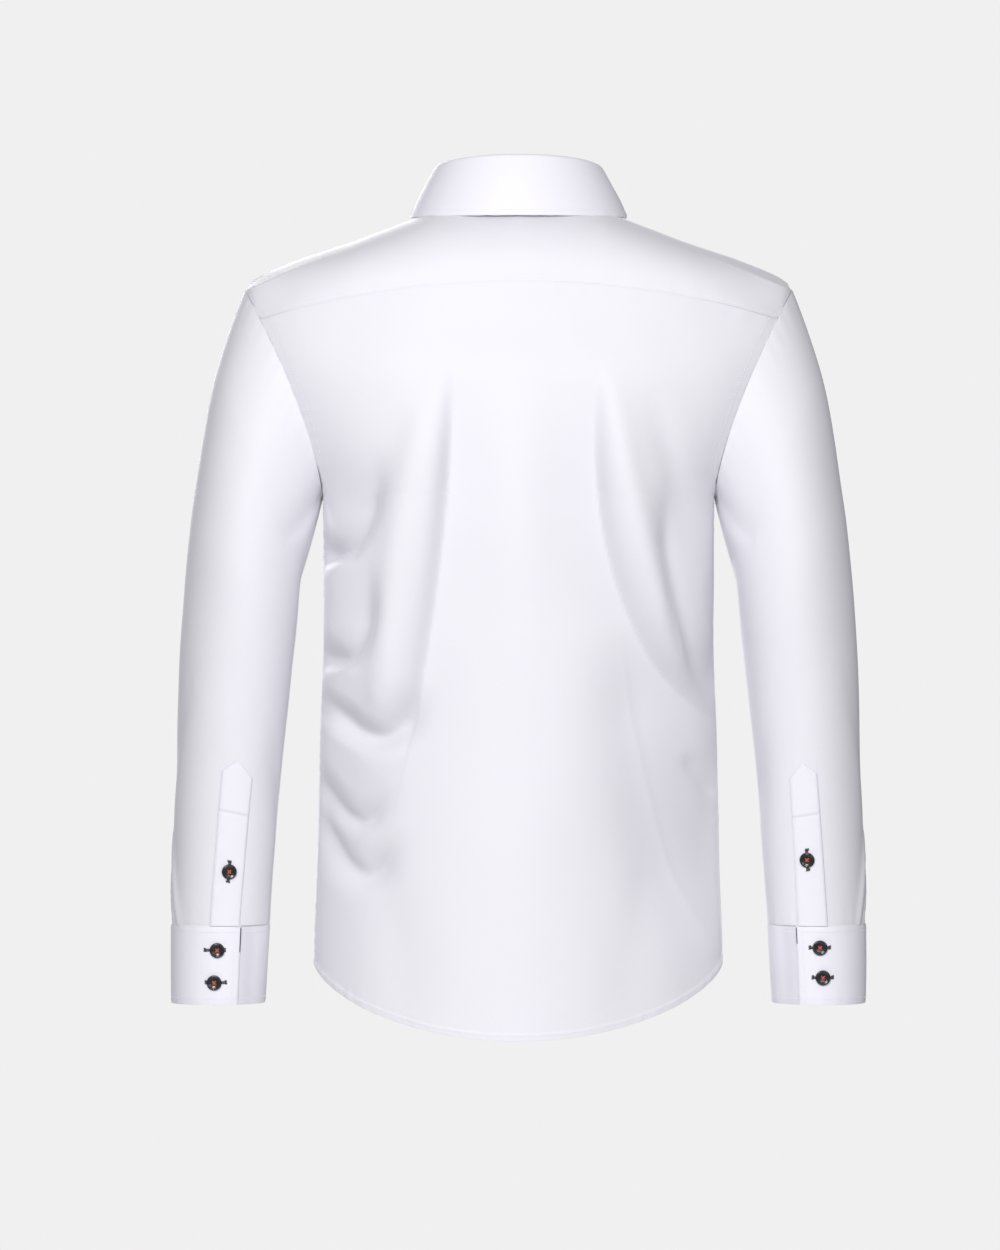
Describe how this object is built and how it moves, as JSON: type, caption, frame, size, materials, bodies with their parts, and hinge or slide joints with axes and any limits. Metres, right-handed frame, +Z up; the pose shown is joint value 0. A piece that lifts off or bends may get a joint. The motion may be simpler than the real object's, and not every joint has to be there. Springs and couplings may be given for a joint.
{
  "type": "casual shirt",
  "caption": "Plain white long-sleeved button-up shirt, filled out as if worn, with a folded collar, buttoned cuffs and a curved hem.",
  "frame": {"origin": "middle of the neck, level with the seam under the collar at the back, where the wearer's neck and shoulders hold the shirt", "axes": "+Z up along the body, -Y towards the buttoned front, +Y towards the back, +X towards the wearer's left sleeve"},
  "size_m": [0.6066, 0.2487, 0.7595],
  "materials": {
    "cotton": "soft satin",
    "button": "gloss"
  },
  "bodies": {
    "root": {"back": "cotton", "front_left": "cotton", "front_right": "cotton", "yoke": "cotton", "placket": "cotton", "sleeve_left": "cotton", "sleeve_right": "cotton", "gauntlet_left": "cotton", "gauntlet_right": "cotton", "cuff_left": "cotton", "cuff_right": "cotton", "collar_stand": "cotton", "collar_leaf": "cotton", "button_front_1": "button", "button_front_2": "button", "button_front_3": "button", "button_front_4": "button", "button_front_5": "button", "button_front_6": "button", "button_front_7": "button", "button_gauntlet_left": "button", "button_cuff_1_left": "button", "button_cuff_2_left": "button", "button_gauntlet_right": "button", "button_cuff_1_right": "button", "button_cuff_2_right": "button"}
  },
  "joints": []
}
